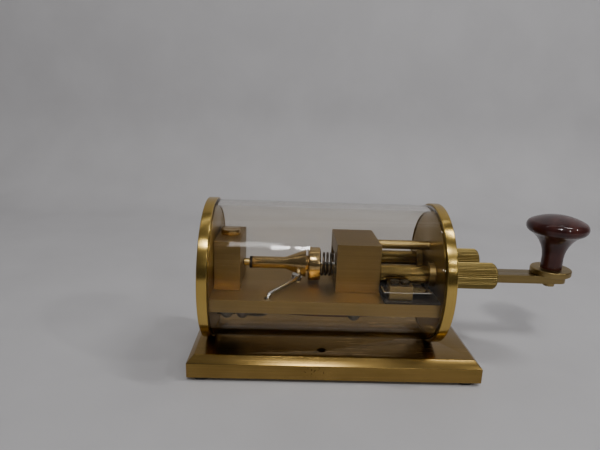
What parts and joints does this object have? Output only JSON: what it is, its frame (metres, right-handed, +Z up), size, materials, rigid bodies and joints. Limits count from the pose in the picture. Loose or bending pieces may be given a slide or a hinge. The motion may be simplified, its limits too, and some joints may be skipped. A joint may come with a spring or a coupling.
{
  "type": "straight telegraph key",
  "caption": "Straight telegraph key: bevelled brass base, clear tube between upright discs, lever with mushroom finger knob, and knurled spring and gap adjusters.",
  "frame": {"origin": "midway between the two bench holes, on the underside of the base plate; the rubber feet reach below it", "axes": "+X along the lever towards the finger knob, +Z up"},
  "size_m": [0.1959, 0.07, 0.0823],
  "materials": {
    "base_brass": "brushed, tarnished",
    "polished_brass": "polished",
    "block_brass": "brushed",
    "knurled_brass": "knurled",
    "lever_brass": "satin",
    "steel": "bright",
    "spring_steel": "blued",
    "clear_tube": "clear acrylic",
    "knob_wood": "lacquered",
    "insulator": "satin",
    "rubber": "matte",
    "lead_sheath": "satin"
  },
  "bodies": {
    "frame": {"base_plate": "base_brass", "rubber_feet": "rubber", "base_screws": "steel", "front_disc": "polished_brass", "rear_disc": "polished_brass", "disc_screws": "polished_brass", "cover_tube": "clear_tube", "platform": "block_brass", "rear_block": "block_brass", "pivot_block": "block_brass", "block_screws": "steel", "top_screw": "polished_brass", "stay_rod": "polished_brass", "pivot_bearings": "steel", "pivot_plug": "block_brass", "return_spring": "spring_steel", "insulating_plate": "insulator", "lower_jaw": "lever_brass", "upper_jaw": "lever_brass", "clamp_screws": "steel", "clamp_bushes": "insulator", "clamp_nuts": "polished_brass", "contact_leaf": "steel", "fixed_contact": "steel", "solder_tag": "steel", "tag_screw": "steel", "frame_lead": "steel", "contact_lead": "lead_sheath", "jack_socket": "insulator", "jack_nut": "polished_brass"},
    "lever": {"lever_bar": "lever_brass", "knob_flange": "polished_brass", "finger_knob": "knob_wood", "knob_screw": "polished_brass", "pivot_axle": "steel", "pull_pin": "steel", "moving_contact": "steel"},
    "pull_rod": {"pull_rod": "steel", "rod_washer": "insulator", "rod_sleeve": "polished_brass", "tension_ring": "polished_brass"},
    "tension_adjuster": {"tension_shaft": "knurled_brass", "tension_knob": "knurled_brass", "tension_collar": "polished_brass", "tension_screw": "spring_steel"},
    "spring_seat": {"spring_seat": "steel"},
    "gap_adjuster": {"gap_shaft": "knurled_brass", "gap_knob": "knurled_brass", "gap_collar": "polished_brass", "gap_screw": "spring_steel"},
    "gap_stop": {"gap_stop": "steel"}
  },
  "joints": [
    {"name": "key_press", "type": "hinge", "parent": "frame", "child": "lever", "pos_m": [0.016, 0, 0.0427], "axis": [0, 1, 0], "range_deg": [0, 1], "stiffness_Nm_per_rad": 3, "springref_deg": -3.44},
    {"name": "rod_pull", "type": "slide", "parent": "frame", "child": "pull_rod", "axis": [1, 0, 0], "range_m": [0, 0.0001]},
    {"name": "tension_turn", "type": "hinge", "parent": "frame", "child": "tension_adjuster", "pos_m": [0.055, -0.012, 0.048], "axis": [1, 0, 0], "range_deg": [0, 720]},
    {"name": "seat_travel", "type": "slide", "parent": "frame", "child": "spring_seat", "axis": [1, 0, 0], "range_m": [0, 0.0014]},
    {"name": "gap_turn", "type": "hinge", "parent": "frame", "child": "gap_adjuster", "pos_m": [0.055, 0.012, 0.048], "axis": [1, 0, 0], "range_deg": [0, 720]},
    {"name": "stop_travel", "type": "slide", "parent": "frame", "child": "gap_stop", "axis": [-1, 0, 0], "range_m": [0, 0.0014]}
  ],
  "couplings": [
    {"joint": "rod_pull", "follows": "key_press", "m_per_rad": 0.0053},
    {"joint": "seat_travel", "follows": "tension_turn", "m_per_rad": 0.00011},
    {"joint": "stop_travel", "follows": "gap_turn", "m_per_rad": 0.00011}
  ]
}
